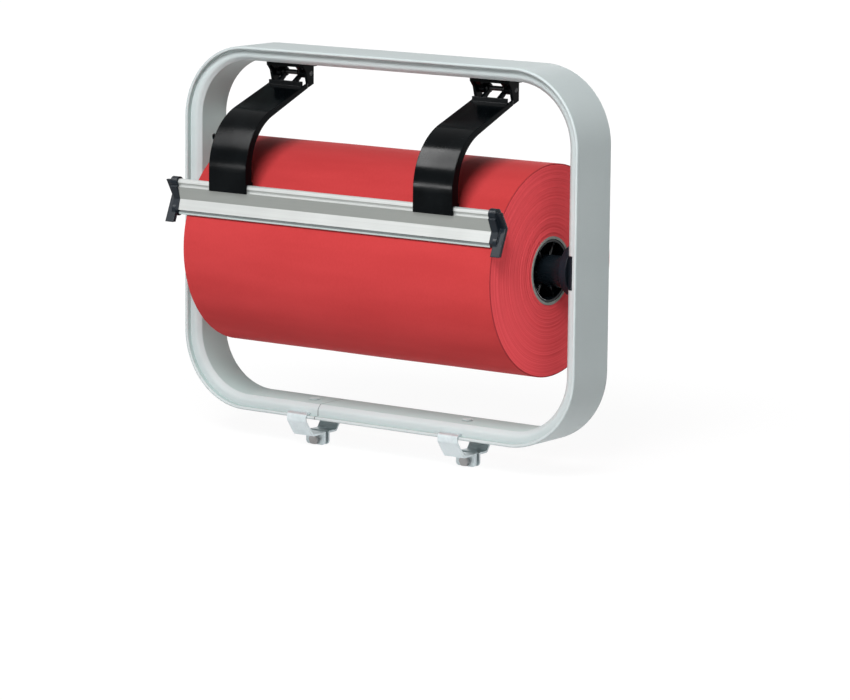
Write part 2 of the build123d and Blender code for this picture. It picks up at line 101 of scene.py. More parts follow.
class Body(Enum):
    """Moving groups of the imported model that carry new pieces."""

    ROLL = "roll"
    BOLT = "bolt"
    GRIP = "grip"


class Wire:
    """A shader node's output that takes part in Python sums."""

    def __init__(self, board: Board, socket: bpy.types.NodeSocket | None) -> None:
        """Keep a node's output with its board, or None for a node that ends the tree."""
        self.board = board
        self.socket = socket

    def math(self, operation: str, first: float | Wire, second: float | Wire = 0.0) -> Wire:
        """Result of a Math node for an operation on one or two values."""
        inputs = {0: first, 1: second}
        return self.board.node("ShaderNodeMath", {"operation": operation}, inputs)

    def __add__(self, other: float | Wire) -> Wire:
        """Sum of two values."""
        return self.math("ADD", self, other)

    def __sub__(self, other: float | Wire) -> Wire:
        """This value less another."""
        return self.math("SUBTRACT", self, other)

    def __rsub__(self, other: float) -> Wire:
        """A number less this value."""
        return self.math("SUBTRACT", other, self)

    def __mul__(self, other: float | Wire) -> Wire:
        """Product of two values."""
        return self.math("MULTIPLY", self, other)

    def __pow__(self, other: float) -> Wire:
        """This value to a power."""
        return self.math("POWER", self, other)

    __radd__ = __add__
    __rmul__ = __mul__

    def __neg__(self) -> Wire:
        """This value with its sign turned."""
        return 0.0 - self

    def __abs__(self) -> Wire:
        """Size of this value without its sign."""
        return self.math("ABSOLUTE", self)

    def sine(self) -> Wire:
        """Sine of this value in radians."""
        return self.math("SINE", self)

    def turn_from(self, other: Wire) -> Wire:
        """Angle of the direction with this rise and the other run."""
        return self.math("ARCTAN2", self, other)

    def at_most(self, other: float | Wire) -> Wire:
        """The lesser of two values."""
        return self.math("MINIMUM", self, other)

    def swing(self, share: float) -> Wire:
        """How far a pattern is from its middle, times a share."""
        return (self - PATTERN_MIDDLE) * share

    def fade(self, span: Span) -> Wire:
        """Smooth step from 0 at the low end of a span to 1 at its high end."""
        inputs = {0: self, 1: span[0], 2: span[1]}
        return self.board.node("ShaderNodeMapRange", {"interpolation_type": "SMOOTHSTEP"}, inputs)


class Board:
    """A node tree that is filled from Python."""

    def __init__(self, tree: bpy.types.NodeTree) -> None:
        """Empty the node tree of a material or a world, to fill it anew."""
        self.tree = tree
        self.tree.nodes.clear()

    def node(self, kind: str, settings: dict[str, Any] | None = None,
             inputs: dict[int | str, Any] | None = None, output: int | str = 0) -> Wire:
        """Add a node.

        Args:
            kind: Type of the node.
            settings: Properties that are set first.
            inputs: Values or wires of its sockets.
            output: Name or number of the output that is wanted.

        Returns:
            That output, with no socket if the node has none.
        """
        made = self.tree.nodes.new(kind)
        for key, value in (settings or {}).items():
            setattr(made, key, value)
        for key, value in (inputs or {}).items():
            if isinstance(value, Wire):
                self.tree.links.new(value.socket, made.inputs[key])
            else:
                made.inputs[key].default_value = value
        return Wire(self, made.outputs[output] if len(made.outputs) else None)

    def blend(self, share: float | Wire, first: Colour | Wire, second: Colour | Wire) -> Wire:
        """Mix of two colours that holds a share of the second."""
        inputs = {MIX_SHARE: share, MIX_FIRST: first, MIX_SECOND: second}
        return self.node("ShaderNodeMix", {"data_type": "RGBA"}, inputs, MIX_RESULT)

    def seen_white(self) -> Wire:
        """Mask of the rays that show the backdrop itself.

        Returns:
            1 for those rays, 0 for the rays that light the dispenser.
        """
        rays = self.node("ShaderNodeLightPath").socket.node.outputs
        camera, mirrored, through = (Wire(self, rays[name]) for name in SHOWING_RAYS)
        return (camera + mirrored + through).at_most(1.0)


class Shader(Board):
    """Nodes of one surface material."""

    def __init__(self, name: str) -> None:
        """Make an empty material.

        Args:
            name: Name of the material.
        """
        self.material = bpy.data.materials.new(name)
        self.material.use_nodes = True
        super().__init__(self.material.node_tree)

    def place(self) -> Wire:
        """Place on the piece, in its own frame."""
        return self.node("ShaderNodeTexCoord", output="Object")

    def facing(self) -> Wire:
        """Direction that the surface faces, in the piece's own frame."""
        return self.node("ShaderNodeTexCoord", output="Normal")

    def softened(self, radius: float) -> Wire:
        """Direction that the surface faces, with sharp edges rounded to a radius."""
        return self.node("ShaderNodeBevel", {"samples": BEVEL_SAMPLES}, {"Radius": radius})

    def axes(self, vector: Wire) -> tuple[Wire, ...]:
        """X, Y and Z of a vector."""
        split = self.node("ShaderNodeSeparateXYZ", inputs={0: vector}).socket.node
        return tuple(Wire(self, part) for part in split.outputs)

    def noise(self, per_metre: float | Point, detail: float, at: Wire | None = None) -> Wire:
        """Cloudy pattern.

        Args:
            per_metre: How many features there are to a metre, alike or along each axis.
            detail: Finer octaves to add.
            at: Where to read it, if not at the place on the piece.

        Returns:
            A value from 0 to 1, mostly near its middle.
        """
        pace = per_metre if isinstance(per_metre, tuple) else (per_metre,) * 3
        inputs = {0: at or self.place(), 1: pace}
        spot = self.node("ShaderNodeVectorMath", {"operation": "MULTIPLY"}, inputs)
        inputs = {"Vector": spot, "Scale": 1.0, "Detail": detail}
        return self.node("ShaderNodeTexNoise", inputs=inputs)

    def cells(self, per_metre: float) -> Wire:
        """Pattern of crystal-like cells, each with a grey of its own.

        Args:
            per_metre: How many cells there are to a metre.

        Returns:
            A value from 0 to 1.
        """
        inputs = {"Vector": self.place(), "Scale": per_metre}
        tint = self.node("ShaderNodeTexVoronoi", inputs=inputs, output="Color")
        return self.axes(tint)[0]

    def edges(self, radius: float) -> Wire:
        """Mask of the sharp edges.

        Args:
            radius: How far from an edge the mask reaches.

        Returns:
            Near 1 on an edge, 0 on open faces.
        """
        true = self.node("ShaderNodeNewGeometry", output="Normal")
        inputs = {0: self.softened(radius), 1: true}
        same = self.node("ShaderNodeVectorMath", {"operation": "DOT_PRODUCT"}, inputs, "Value")
        return (1.0 - same).fade(EDGE_FADE)

    def bump(self, height: Wire, depth: float, strength: float, edge: float = 0.0) -> Wire:
        """Surface direction with a relief on it.

        Args:
            height: Relief from 0 to 1.
            depth: Depth of the relief in metres.
            strength: Share of the relief that shows.
            edge: Radius at which sharp edges catch the light, if they do.

        Returns:
            The surface direction.
        """
        inputs = {"Height": height, "Distance": depth, "Strength": strength}
        if edge:
            inputs["Normal"] = self.softened(edge)
        return self.node("ShaderNodeBump", inputs=inputs)

    def surface(self, **sockets: Any) -> None:
        """Finish the material.

        Args:
            sockets: Values or wires of the surface's sockets, with _ for a space in a name.
        """
        inputs = {key.replace("_", " "): value for key, value in sockets.items()}
        shine = self.node("ShaderNodeBsdfPrincipled", inputs=inputs)
        self.node("ShaderNodeOutputMaterial", inputs={"Surface": shine})


@dataclass(frozen=True)
class Finish:
    """A surface finish that pieces share."""

    name: str

    def material(self) -> bpy.types.Material:
        """Material of the finish, made when it is first asked for.

        Returns:
            The one material that all its pieces share.
        """
        made = bpy.data.materials.get(self.name)
        if made is None:
            shader = Shader(self.name)
            self.paint(shader)
            made = shader.material
        return made

    def paint(self, shader: Shader) -> None:
        """Lay the finish's nodes in an empty material."""
        raise NotImplementedError


@dataclass(frozen=True)
class SatinCoat(Finish):
    """Silver-grey coat with fine flakes, baked on a bent metal section."""

    light: Colour = (0.490, 0.545, 0.548, 1.0)
    dark: Colour = (0.452, 0.506, 0.510, 1.0)
    worn: Colour = (0.590, 0.636, 0.638, 1.0)
    # inner is painted shade: a darker, greener tone for the faces that look in towards the roll
    inner: Colour = (0.392, 0.500, 0.488, 1.0)
    grime: Colour = (0.085, 0.092, 0.092, 1.0)
    tone_fade: Span = (0.2, 0.8)
    shine: float = 0.10
    roughness: float = 0.46
    clouds_per_metre: float = 14.0
    cloud_detail: float = 3.0
    cloud_roughness: float = 0.1
    flakes_per_metre: float = 2600.0
    flake_detail: float = 1.0
    flake_tone: float = 0.8
    flake_roughness: float = 0.16
    flake_depth: float = 0.00003
    relief: float = 0.5
    edge_radius: float = 0.0006
    worn_share: float = 0.5
    middle_height: float = 0.139
    inner_shade_fade: Span = (0.04, 0.08)
    shoulder_fade: Span = (0.08, 0.40)
    seam_place: float = -0.058
    seam_half: float = 0.0005
    seam_core: float = 0.4
    seam_top: float = 0.03

    def paint(self, shader: Shader) -> None:
        """Lay clouds, flakes, thin edges, a darker, greener painted shade on the inner faces, and
        grime along the seam.

        Args:
            shader: Empty material.
        """
        clouds = shader.noise(self.clouds_per_metre, self.cloud_detail)
        flakes = shader.noise(self.flakes_per_metre, self.flake_detail)
        mottle = (clouds + flakes.swing(self.flake_tone)).fade(self.tone_fade)
        tone = shader.blend(mottle, self.dark, self.light)
        tone = shader.blend(shader.edges(self.edge_radius) * self.worn_share, tone, self.worn)
        x, _, z = shader.axes(shader.place())
        right, back, up = shader.axes(shader.facing())
        # Painted shade: faces that look in towards the roll, away from the shoulders, take the
        # inner tone
        inward = -(right * x) - up * (z - self.middle_height)
        flat = 1.0 - abs(back).fade(self.shoulder_fade)
        tone = shader.blend(inward.fade(self.inner_shade_fade) * flat, tone, self.inner)
        beside = abs(x - self.seam_place).fade((self.seam_half * self.seam_core, self.seam_half))
        clean = (beside + z.fade((0.0, self.seam_top))).at_most(1.0)
        tone = shader.blend(1.0 - clean, tone, self.grime)
        dulled = self.roughness + flakes.swing(self.flake_roughness)
        shader.surface(
            Base_Color=tone,
            Specular_IOR_Level=self.shine,
            Roughness=dulled + clouds.swing(self.cloud_roughness),
            Normal=shader.bump(flakes, self.flake_depth, self.relief),
        )


@dataclass(frozen=True)
class DrawnMetal(Finish):
    """Bare metal with fine lines along its length, as a drawn or ground section has."""

    light: Colour = (0.600, 0.620, 0.610, 1.0)
    dark: Colour = (0.525, 0.543, 0.534, 1.0)
    # Painted light on the faces that look down and forward: painted shade on the rail, a painted
    # highlight on the blade's bevel
    under_shade_and_highlight: Colour = (0.262, 0.278, 0.262, 1.0)
    tone_fade: Span = (0.25, 0.75)
    metallic: float = 0.55
    roughness: float = 0.38
    lines: Point = (6.0, 3200.0, 3200.0)
    line_detail: float = 3.0
    line_roughness: float = 0.2
    line_depth: float = 0.00002
    relief: float = 0.6
    smudges_per_metre: float = 25.0
    smudge_detail: float = 4.0
    smudge_tone: float = 0.5
    smudge_roughness: float = 0.16
    down_fade: Span = (0.12, 0.24)
    front_fade: Span = (0.80, 0.92)
    painted_face_lines: float = 0.16
    edge_radius: float = 0.0004

    def paint(self, shader: Shader) -> None:
        """Lay drawing lines, smudges that dull them, and a painted tone on the faces that look down
        and forward, which is painted shade on the rail and a painted highlight on the blade.

        Args:
            shader: Empty material.
        """
        lines = shader.noise(self.lines, self.line_detail)
        smudges = shader.noise(self.smudges_per_metre, self.smudge_detail)
        streaks = (lines + smudges.swing(self.smudge_tone)).fade(self.tone_fade)
        tone = shader.blend(streaks, self.dark, self.light)
        _, back, up = shader.axes(shader.facing())
        # Painted light: faces that look down and forward take the under tone (drawn), streaked with
        # the drawing lines
        under = (-up).fade(self.down_fade) * (-back).fade(self.front_fade)
        drawn = shader.blend(lines * self.painted_face_lines, self.under_shade_and_highlight, self.dark)
        dulled = self.roughness + lines.swing(self.line_roughness)
        shader.surface(
            Base_Color=shader.blend(under, tone, drawn),
            Metallic=self.metallic,
            Roughness=dulled + smudges.swing(self.smudge_roughness),
            Normal=shader.bump(lines, self.line_depth, self.relief, self.edge_radius),
        )


@dataclass(frozen=True)
class PlatedMetal(Finish):
    """Bright plating with a faint crystal pattern and rubbed spots."""

    light: Colour = (0.640, 0.715, 0.735, 1.0)
    dark: Colour = (0.545, 0.620, 0.640, 1.0)
    tone_fade: Span = (0.2, 0.75)
    metallic: float = 0.5
    roughness: float = 0.33
    cells_per_metre: float = 240.0
    cell_tone: float = 0.25
    cell_roughness: float = 0.04
    rubs_per_metre: float = 60.0
    rub_detail: float = 4.0
    rub_roughness: float = 0.14
    grain_per_metre: float = 5200.0
    grain_detail: float = 1.0
    grain_depth: float = 0.00001
    relief: float = 0.5
    edge_radius: float = 0.0004

    def paint(self, shader: Shader) -> None:
        """Lay the crystals, the rubbed spots and the grain.

        Args:
            shader: Empty material.
        """
        cells = shader.cells(self.cells_per_metre)
        rubs = shader.noise(self.rubs_per_metre, self.rub_detail)
        grain = shader.noise(self.grain_per_metre, self.grain_detail)
        spots = (rubs + cells.swing(self.cell_tone)).fade(self.tone_fade)
        dulled = self.roughness + rubs.swing(self.rub_roughness)
        shader.surface(
            Base_Color=shader.blend(spots, self.dark, self.light),
            Metallic=self.metallic,
            Roughness=dulled + cells.swing(self.cell_roughness),
            Normal=shader.bump(grain, self.grain_depth, self.relief, self.edge_radius),
        )


@dataclass(frozen=True)
class MouldedPlastic(Finish):
    """Moulded plastic with a fine spark-eroded grain, flow clouds and light scuffs."""

    light: Colour = (0.0020, 0.0029, 0.0035, 1.0)
    dark: Colour = (0.0009, 0.0014, 0.0018, 1.0)
    scuffed: Colour = (0.008, 0.010, 0.011, 1.0)
    tone_fade: Span = (0.3, 0.7)
    ior: float = 1.5
    roughness: float = 0.155
    shine: float = 0.04
    grain_per_metre: float = 6000.0
    grain_detail: float = 1.0
    grain_depth: float = 0.000005
    relief: float = 0.6
    flow_per_metre: float = 45.0
    flow_detail: float = 3.0
    flow_roughness: float = 0.14
    scuffs: Point = (160.0, 900.0, 900.0)
    scuff_detail: float = 4.0
    scuff_fade: Span = (0.62, 0.78)
    scuff_tone: float = 0.5
    scuff_roughness: float = 0.1
    edge_radius: float = 0.0011

    def paint(self, shader: Shader) -> None:
        """Lay the flow clouds, the scuffs and the grain.

        Args:
            shader: Empty material.
        """
        grain = shader.noise(self.grain_per_metre, self.grain_detail)
        flow = shader.noise(self.flow_per_metre, self.flow_detail)
        scuffs = shader.noise(self.scuffs, self.scuff_detail).fade(self.scuff_fade)
        tone = shader.blend(flow.fade(self.tone_fade), self.dark, self.light)
        dulled = self.roughness + flow.swing(self.flow_roughness)
        shader.surface(
            Base_Color=shader.blend(scuffs * self.scuff_tone, tone, self.scuffed),
            IOR=self.ior,
            Specular_IOR_Level=self.shine,
            Roughness=dulled + scuffs * self.scuff_roughness,
            Normal=shader.bump(grain, self.grain_depth, self.relief, self.edge_radius),
        )


@dataclass(frozen=True)
class WoundPaper(Finish):
    """Coloured wrapping paper: fibres along the web, and layers that show on the roll's ends."""

    light: Colour = (0.462, 0.0455, 0.0475, 1.0)
    dark: Colour = (0.414, 0.0380, 0.0395, 1.0)
    tone_fade: Span = (0.25, 0.75)
    layer_dark: Colour = (0.775, 0.077, 0.088, 1.0)
    layer_light: Colour = (0.900, 0.108, 0.123, 1.0)
    layer_fade: Span = (0.3, 0.7)
    # rim is painted shade: a dark line on the ends along their outer edge
    rim_painted_shade: Colour = (0.170, 0.018, 0.021, 1.0)
    rim_shade_share: float = 0.8
    rim_shade_width: float = 0.0013
    axis_height: float = 0.139
    roll_radius: float = 0.0838
    end_fade: Span = (0.55, 0.85)
    end_roughness: float = 0.25
    shine: float = 0.015
    roughness: float = 0.50
    fibres: Point = (700.0, 420.0, 420.0)
    fibre_detail: float = 4.0
    fibre_tone: float = 0.4
    fibre_roughness: float = 0.2
    fibre_depth: float = 0.00004
    relief: float = 0.35
    bands: Point = (7.0, 40.0, 40.0)
    band_detail: float = 3.0
    drift_per_metre: float = 35.0
    drift_detail: float = 2.0
    drift_layers: float = 1.6
    layers_per_metre: float = 1400.0
    layer_detail: float = 5.0

    def paint(self, shader: Shader) -> None:
        """Lay fibres and bands on the outside, and rings on the ends with a painted shade line
        along their outer rim.

        Args:
            shader: Empty material.
        """
        x, y, z = shader.axes(shader.place())
        rise = z - self.axis_height
        radius = (y * y + rise * rise) ** 0.5
        end = abs(shader.axes(shader.facing())[0]).fade(self.end_fade)
        fibres = shader.noise(self.fibres, self.fibre_detail)
        bands = shader.noise(self.bands, self.band_detail)
        drift = shader.noise(self.drift_per_metre, self.drift_detail) * self.drift_layers
        inputs = {0: radius * self.layers_per_metre + drift, 1: x}
        spot = shader.node("ShaderNodeCombineXYZ", inputs=inputs)
        layers = shader.noise(1.0, self.layer_detail, spot)
        streaks = (bands + fibres.swing(self.fibre_tone)).fade(self.tone_fade)
        outside = shader.blend(streaks, self.dark, self.light)
        rings = shader.blend(layers.fade(self.layer_fade), self.layer_dark, self.layer_light)
        # Painted shade: a dark line on the ends along their outer edge
        rim_shade_start = self.roll_radius - self.rim_shade_width
        rim_shade_mask = radius.fade((rim_shade_start, self.roll_radius - self.rim_shade_width / 2))
        rings = shader.blend(rim_shade_mask * self.rim_shade_share, rings, self.rim_painted_shade)
        height = fibres * (1.0 - end) + layers * end
        dulled = self.roughness + fibres.swing(self.fibre_roughness)
        shader.surface(
            Base_Color=shader.blend(end, outside, rings),
            Roughness=dulled + end * self.end_roughness,
            Specular_IOR_Level=self.shine,
            Normal=shader.bump(height, self.fibre_depth, self.relief),
        )


@dataclass(frozen=True)
class CoreBoard(Finish):
    """Grey board wound in a spiral."""

    light: Colour = (0.300, 0.345, 0.320, 1.0)
    dark: Colour = (0.215, 0.255, 0.235, 1.0)
    tone_fade: Span = (0.3, 0.7)
    seam: Colour = (0.120, 0.140, 0.130, 1.0)
    seam_fade: Span = (0.985, 0.999)
    seam_tone: float = 0.7
    axis_height: float = 0.139
    turns_per_metre: float = 14.0
    roughness: float = 0.85
    fibres_per_metre: float = 1100.0
    fibre_detail: float = 4.0
    fibre_roughness: float = 0.2
    fibre_depth: float = 0.00006
    relief: float = 0.6

    def paint(self, shader: Shader) -> None:
        """Lay fibres and the spiral seam.

        Args:
            shader: Empty material.
        """
        x, y, z = shader.axes(shader.place())
        turn = (z - self.axis_height).turn_from(y)
        spiral = turn + x * (self.turns_per_metre * math.tau)
        seam = spiral.sine().fade(self.seam_fade)
        fibres = shader.noise(self.fibres_per_metre, self.fibre_detail)
        board = shader.blend(fibres.fade(self.tone_fade), self.dark, self.light)
        shader.surface(
            Base_Color=shader.blend(seam * self.seam_tone, board, self.seam),
            Roughness=self.roughness + fibres.swing(self.fibre_roughness),
            Normal=shader.bump(fibres - seam, self.fibre_depth, self.relief),
        )


HOOP_COAT = SatinCoat("satin_silver_coat")
RAIL_METAL = DrawnMetal("drawn_rail_metal")
# The blade's flat face is dark ground steel, darkened further as painted shade of the slot it sits
# in; its bevel takes a bright teal under tone as a painted highlight
BLADE_METAL = DrawnMetal(
    "ground_blade_steel",
    light=(0.23, 0.255, 0.255, 1.0),
    dark=(0.16, 0.18, 0.18, 1.0),
    under_shade_and_highlight=(0.56, 0.65, 0.64, 1.0),
    metallic=0.9,
    roughness=0.26,
)
CLAMP_PLATE = PlatedMetal("bright_clamp_plating")
FASTENER_PLATE = PlatedMetal(
    "dull_fastener_plating",
    light=(0.40, 0.39, 0.39, 1.0),
    dark=(0.31, 0.30, 0.30, 1.0),
)
PIN_STEEL = PlatedMetal(
    "blackened_pin_steel",
    light=(0.030, 0.032, 0.034, 1.0),
    dark=(0.018, 0.019, 0.020, 1.0),
)
BLACK_PLASTIC = MouldedPlastic("black_moulded_plastic")
HUB_PLASTIC = MouldedPlastic(
    "blue_black_hub_plastic",
    light=(0.0080, 0.0125, 0.0180, 1.0),
    dark=(0.0050, 0.0080, 0.0120, 1.0),
    scuffed=(0.016, 0.021, 0.027, 1.0),
    roughness=0.34,
    shine=0.13,
)
PLUG_PLASTIC = MouldedPlastic(
    "glossy_plug_plastic",
    light=(0.0060, 0.0090, 0.0120, 1.0),
    dark=(0.0030, 0.0050, 0.0070, 1.0),
    scuffed=(0.012, 0.016, 0.020, 1.0),
    roughness=0.20,
    shine=0.16,
)
GREY_PLASTIC = MouldedPlastic(
    "grey_moulded_plastic",
    light=(0.47, 0.55, 0.55, 1.0),
    dark=(0.41, 0.49, 0.49, 1.0),
    scuffed=(0.58, 0.64, 0.64, 1.0),
    roughness=0.5,
    shine=0.4,
)
RED_PAPER = WoundPaper("red_wound_paper")
CORE_BOARD = CoreBoard("grey_core_board")

# Paired pieces whose gloss has lamps of its own
ARMS = tuple(side.of("arm") for side in Side)
BLACK_PIECES = ARMS + tuple(
    side.of(piece) for side in Side
    for piece in ("hinge_bracket", "end_cap", "axle_holder", "core_plug"))


def dress(node: str, finish: Finish) -> None:
    """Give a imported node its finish.

    Args:
        node: Name of the node.
        finish: Finish that it takes.
    """
    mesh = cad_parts[node].data
    mesh.materials.clear()
    mesh.materials.append(finish.material())
    log.info("%s takes %s", node, finish.name)


def grid_piece(name: str, rows: np.ndarray, finish: Finish, crease: float,
               ring: bool) -> bpy.types.Object:
    """Make a piece from rows of points that go round an axis.

    Args:
        name: Name of the piece.
        rows: Points, by row, place in the row, and axis.
        finish: Finish that it takes.
        crease: Angle in degrees above which an edge is sharp.
        ring: True if the last row joins the first, False if both are capped.

    Returns:
        The piece.
    """
    count, around = rows.shape[:2]
    faces = []
    for row in range(count if ring else count - 1):
        here, there = row * around, (row + 1) % count * around
        for step in range(around):
            after = (step + 1) % around
            faces.append((here + step, here + after, there + after, there + step))
    if not ring:
        faces.append(tuple(reversed(range(around))))
        faces.append(tuple(range((count - 1) * around, count * around)))
    mesh = bpy.data.meshes.new(name)
    mesh.from_pydata(rows.reshape(-1, 3).tolist(), [], faces)
    mesh.validate()
    mesh.polygons.foreach_set("use_smooth", [True] * len(mesh.polygons))
    mesh.set_sharp_from_angle(angle=math.radians(crease))
    mesh.materials.append(finish.material())
    piece = bpy.data.objects.new(name, mesh)
    bpy.context.scene.collection.objects.link(piece)
    return piece


@dataclass
class HoopFrame:
    """Bent hollow hoop with the sleeve in its seam and the plugs in its base."""

    metal_nodes: tuple[str, ...] = ("hoop_frame", "seam_joiner")
    plug_node: str = "base_hole_plugs"

    def build(self) -> None:
        """Dress the hoop and its plugs."""
        for node in self.metal_nodes:
            dress(node, HOOP_COAT)
        dress(self.plug_node, GREY_PLASTIC)


@dataclass
class PaperRoll:
    """Red paper wound on a board core, with its layers and its free edge."""

    paper_node: str = "paper_roll"
    core_node: str = "core_tube"
    slot: str = "red_paper"
    around: int = 256
    along: int = 48
    layers: int = 44
    sheet: float = 0.00014
    free_edge_angle: float = 158.0
    edge_gap: float = 0.0001
    edge_rounding: float = 0.0005
    core_shift: float = 0.00045
    rim_shift: float = 0.00008
    layer_groove: float = 0.35
    sag: float = 0.00022
    sag_waves: int = 3
    sag_twist: float = 2.0
    sag_pace: float = 9.0
    bore_gap: float = 0.0001
    crease: float = 50.0
    seed: int = 7

    def profile(self) -> tuple[np.ndarray, np.ndarray]:
        """Half section of the roll from its bore round one end, the outside and the other end.

        Returns:
            X and radius of each point of the section.
        """
        low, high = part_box(self.paper_node)
        core_low, core_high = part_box(self.core_node)
        inner = (core_high.z - core_low.z) / 2 + self.bore_gap
        outer = (high.z - low.z) / 2
        draw = np.random.default_rng(self.seed)
        bounds = np.linspace(inner, outer - self.edge_rounding, self.layers + 1)
        groove = (bounds[1] - bounds[0]) * self.layer_groove / 2
        radius = np.stack([bounds[:-1] + groove, bounds[1:] - groove], 1).ravel()
        radius[0] = inner
        unevenness = np.geomspace(self.core_shift, self.rim_shift, self.layers)
        left, right = (np.repeat(draw.random(self.layers) * unevenness, 2) for _ in Side)
        side = np.linspace(low.x + self.edge_rounding, high.x - self.edge_rounding, self.along)
        x = np.concatenate([low.x + left, side, high.x - right[::-1]])
        r = np.concatenate([radius, np.full(self.along, outer), radius[::-1]])
        return x, r

    def build(self) -> None:
        """Wind the roll and dress its core."""
        low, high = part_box(self.paper_node)
        middle = (low + high) / 2
        x, r = self.profile()
        start = math.radians(self.free_edge_angle)
        step = self.edge_gap / r.max()
        turn = np.linspace(start, start + math.tau - step, self.around)
        share = (turn - start) / math.tau
        twist = self.sag_twist * np.sin(self.sag_pace * (x[:, None] - low.x) / (high.x - low.x))
        slack = (1.0 + np.sin(self.sag_waves * turn + twist)) / 2 * np.sin(math.pi * share)
        outside = (r > r.max() - self.edge_rounding / 2)[:, None]
        radius = r[:, None] - self.sheet * share - np.where(outside, self.sag * slack, 0.0)
        rows = np.empty((len(x), self.around, 3))
        rows[..., 0] = x[:, None]
        rows[..., 1] = middle.y + radius * np.cos(turn)
        rows[..., 2] = middle.z + radius * np.sin(turn)
        paper = grid_piece("wound_paper", rows[:, ::-1], RED_PAPER, self.crease, True)
        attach(paper, Body.ROLL.value)
        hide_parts(self.paper_node)
        log.info("%s has %d layers on each end", paper.name, self.layers)
        dress(self.core_node, CORE_BOARD)


@dataclass
class AxleSet:
    """Axle holders in the hoop's sides and the plugs that turn on them."""

    holder: str = "axle_holder"
    plug: str = "core_plug"

    def build(self) -> None:
        """Dress both sides."""
        for side in Side:
            dress(side.of(self.holder), HUB_PLASTIC)
            dress(side.of(self.plug), PLUG_PLASTIC)


@dataclass
class TearRail:
    """Drawn rail with its blade and its end caps."""

    rail_node: str = "tear_rail"
    blade_node: str = "tear_blade"
    cap: str = "end_cap"

    def build(self) -> None:
        """Dress the rail, the blade and the caps."""
        dress(self.rail_node, RAIL_METAL)
        dress(self.blade_node, BLADE_METAL)
        for side in Side:
            dress(side.of(self.cap), HUB_PLASTIC)


@dataclass
class ArmSet:
    """Arms that carry the rail, with their brackets, pins and screws."""

    black: tuple[str, ...] = ("arm", "hinge_bracket")
    pin: str = "hinge_pin"
    screws_node: str = "bracket_screws"

    def build(self) -> None:
        """Dress both arms and their hinges."""
        for side in Side:
            for piece in self.black:
                dress(side.of(piece), BLACK_PLASTIC)
            dress(side.of(self.pin), PIN_STEEL)
        dress(self.screws_node, PIN_STEEL)


@dataclass
class ClampSet:
    """Sheet clamps under the hoop, with threaded bolts and chamfered nuts."""

    jaws: tuple[str, ...] = ("clamp_front_jaw", "clamp_rear_jaw")
    bolt: str = "clamp_bolt"
    nut: str = "clamp_nut"
    slot: str = "fastener_steel"
    around: int = 48
    sides: int = 6
    pitch: float = 0.0008
    thread_depth: float = 0.00045
    rows_per_turn: int = 8
    shank_radius: float = 0.0025
    bore_radius: float = 0.00255
    head_height: float = 0.0035
    across: float = 0.008
    face_share: float = 0.94
    chamfer_slope: float = 0.55
    tip_chamfer: float = 0.0005
    crease: float = 28.0
    turns: np.ndarray = field(init=False)
    hexagon: np.ndarray = field(init=False)

    def __post_init__(self) -> None:
        """Work out the directions round the bolt and the hexagon's radius in each."""
        self.turns = np.linspace(0.0, math.tau, self.around, endpoint=False)
        sector = math.tau / self.sides
        self.hexagon = self.across / 2 / np.cos(self.turns % sector - sector / 2)

    def row(self, radius: np.ndarray | float, depth: np.ndarray | float) -> np.ndarray:
        """One ring of points about a fastener's axis.

        Args:
            radius: Distance from the axis.
            depth: Distance behind the fastener's front.

        Returns:
            X, Y and Z of each point.
        """
        points = np.empty((self.around, 3))
        points[:, 0] = radius * np.cos(self.turns)
        points[:, 1] = depth
        points[:, 2] = radius * np.sin(self.turns)
        return points

    def crown(self) -> tuple[float, np.ndarray]:
        """Radius of a hexagon's turned face, and how far the corners fall back from it."""
        face = self.across / 2 * self.face_share
        return face, (self.hexagon - face) * self.chamfer_slope

    def bolt_rows(self, length: float) -> np.ndarray:
        """Rings of a hexagon bolt with its thread.

        Args:
            length: Whole length from the head's face to the tip.

        Returns:
            The rings from the head's face to the tip.
        """
        face, fall = self.crown()
        rows = [self.row(face, 0.0), self.row(self.hexagon, fall),
                self.row(self.hexagon, self.head_height)]
        step = self.pitch / self.rows_per_turn
        for depth in np.arange(self.head_height, length - self.tip_chamfer, step):
            phase = (depth / self.pitch - self.turns / math.tau) % 1.0
            cut = self.thread_depth * np.abs(2 * phase - 1)
            rows.append(self.row(self.shank_radius - cut, depth))
        rows.append(self.row(self.shank_radius - self.thread_depth - self.tip_chamfer, length))
        return np.array(rows)

    def nut_rows(self, length: float) -> np.ndarray:
        """Rings of a hexagon nut.

        Args:
            length: Height of the nut.

        Returns:
            The rings from its bore over its outside and back.
        """
        face, fall = self.crown()
        return np.array([
            self.row(self.bore_radius, 0.0),
            self.row(face, 0.0),
            self.row(self.hexagon, fall),
            self.row(self.hexagon, length - fall),
            self.row(face, length),
            self.row(self.bore_radius, length),
        ])

    def fasten(self, node: str, rows: np.ndarray, body: str, ring: bool) -> None:
        """Put a fastener where its node is.

        Args:
            node: Node that the fastener stands for.
            rows: Its rings about the axis, from its front.
            body: Body that it rides on.
            ring: True for a nut, whose rings close on themselves.
        """
        low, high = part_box(node)
        place = Vector(((low.x + high.x) / 2, low.y, (low.z + high.z) / 2))
        rows = rows + np.array(place)
        piece = grid_piece(f"hexagon_{node}", rows, FASTENER_PLATE, self.crease, ring)
        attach(piece, body)
        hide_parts(node)
        log.info("%s rides on %s", piece.name, body)

    def build(self) -> None:
        """Dress the jaws, and cut the bolts and nuts."""
        for side in Side:
            for jaw in self.jaws:
                dress(side.of(jaw), CLAMP_PLATE)
            bolt, nut = side.of(self.bolt), side.of(self.nut)
            low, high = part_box(bolt)
            self.fasten(bolt, self.bolt_rows(high.y - low.y), side.of(Body.BOLT.value), False)
            low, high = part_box(nut)
            self.fasten(nut, self.nut_rows(high.y - low.y), side.of(Body.GRIP.value), True)


